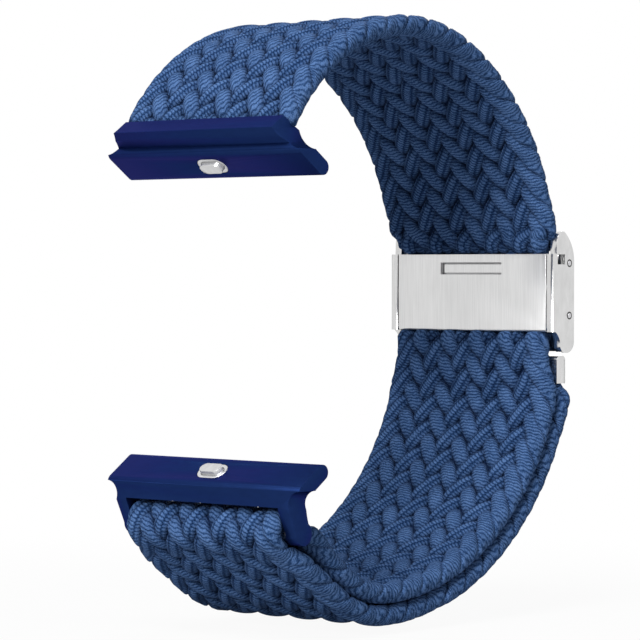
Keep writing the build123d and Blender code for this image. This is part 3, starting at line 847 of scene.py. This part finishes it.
def springs(made):
    """Coiled wire in place of the CAD springs: one on each latch, round its rounded slot, and two halves on the
    bar.
    """
    steel = made["spring_steel"]
    along, across_rail = math.sin(rad(LATCH_TILT)), math.cos(rad(LATCH_TILT))
    shape = coil(LATCH_HALF, LATCH_ROUND, LATCH_SPAN, LATCH_TURNS)
    for name, up, body in (("upper", 1, "strap"), ("lower", -1, "lower_lug")):
        axis = np.array((0, along, up * across_rail))
        cross = np.array((0, across_rail, -up * along))
        origin = cross * LATCH_ACROSS
        piece = spring(f"{name}_latch_coil", f"{name}_latch_spring", body, steel,
                       (np.cross(cross, axis), cross, axis), origin, shape, LATCH_WIRE)
        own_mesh(piece)
    middle = (0, *BAR)
    shape = coil(0, BAR_COIL, BAR_SPAN, BAR_TURNS)
    for name, side in (("left", -1), ("right", 1)):
        axes = ((0, 1, 0), (0, 0, side), (side, 0, 0))
        piece = spring(f"bar_coil_{name}", "bar_spring", "lower_lug", steel, axes, middle, shape, BAR_WIRE)
        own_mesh(piece)


# Stage

def seen_directly(tree):
    """Light Path, and a value of 1 for the camera's rays and for reflections and 0 for other light."""
    path = tree.nodes.new("ShaderNodeLightPath")
    return path, math_node(tree, "MAXIMUM", path.outputs["Is Camera Ray"], path.outputs["Is Glossy Ray"])


def pale_material(name, colour):
    """A pale floor that keeps a soft shadow near the strap and is plain white further out."""
    material, tree, shader = new_material(name)
    shader.inputs["Base Color"].default_value = (*colour, 1.0)
    shader.inputs["Roughness"].default_value = FLOOR_ROUGHNESS
    glow = tree.nodes.new("ShaderNodeEmission")
    seen = seen_directly(tree)[1]
    away = tree.nodes.new("ShaderNodeVectorMath")
    away.operation = "LENGTH"
    tree.links.new(place_node(tree, (1, 1, 0)), away.inputs[0])
    share = tree.nodes.new("ShaderNodeMapRange")
    share.interpolation_type = "SMOOTHSTEP"
    for socket, value in FLOOR_FADE.items():
        share.inputs[socket].default_value = value
    tree.links.new(away.outputs["Value"], share.inputs["Value"])
    factor = math_node(tree, "MULTIPLY", seen, share.outputs[0])
    mix = tree.nodes.new("ShaderNodeMixShader")
    tree.links.new(factor, mix.inputs[0])
    tree.links.new(shader.outputs[0], mix.inputs[1])
    tree.links.new(glow.outputs[0], mix.inputs[2])
    tree.links.new(mix.outputs[0], tree.nodes["Material Output"].inputs["Surface"])
    return material


def stage():
    low = CAD_BOX[0].z - FLOOR_DROP * MM
    mesh = bpy.data.meshes.new("floor")
    corners = [(x * FLOOR_SIZE, y * FLOOR_SIZE, low) for x, y in ((-1, -1), (1, -1), (1, 1), (-1, 1))]
    mesh.from_pydata(corners, [], [(0, 1, 2, 3)])
    floor = bpy.data.objects.new("floor", mesh)
    bpy.context.scene.collection.objects.link(floor)
    mesh.materials.append(pale_material("pale_floor", FLOOR_COLOUR))

    world = bpy.data.worlds.new("studio")
    bpy.context.scene.world = world
    world.use_nodes = True
    tree = world.node_tree
    background = tree.nodes["Background"]
    path, seen = seen_directly(tree)
    seen = math_node(tree, "MAXIMUM", seen, path.outputs["Is Transmission Ray"])
    strength = math_node(tree, "MULTIPLY_ADD", seen, 1.0 - AMBIENT, AMBIENT)
    background.inputs["Color"].default_value = (1, 1, 1, 1)
    tree.links.new(strength, background.inputs["Strength"])


def lamp(name, place, size, power):
    """A square soft light aimed at the strap's middle."""
    data = bpy.data.lights.new(name, "AREA")
    data.shape = "SQUARE"
    data.size = size
    data.energy = power
    lamp_object = bpy.data.objects.new(name, data)
    bpy.context.scene.collection.objects.link(lamp_object)
    middle = (CAD_BOX[0] + CAD_BOX[1]) / 2
    lamp_object.location = place
    lamp_object.rotation_euler = (middle - Vector(place)).to_track_quat("-Z", "Y").to_euler()


def camera():
    data = bpy.data.cameras.new("camera")
    data.lens = LENS
    data.sensor_width = 36.0
    eye = bpy.data.objects.new("camera", data)
    bpy.context.scene.collection.objects.link(eye)
    turn = Matrix.Rotation(rad(EYE_TURN), 4, "Z") @ Matrix.Rotation(rad(90 + EYE_PITCH), 4, "X")
    turn = turn @ Matrix.Rotation(rad(EYE_ROLL), 4, "Z")
    eye.matrix_world = Matrix.Translation(Vector(EYE) * MM) @ turn
    data.clip_start = 0.01
    data.clip_end = 20
    bpy.context.scene.camera = eye


made = materials()
dress_nodes(made)
braided_band(made)
clasp_details(made)
springs(made)
stage()
for row in LAMPS:
    lamp(*row)
camera()
bpy.context.scene.view_settings.view_transform = "Standard"
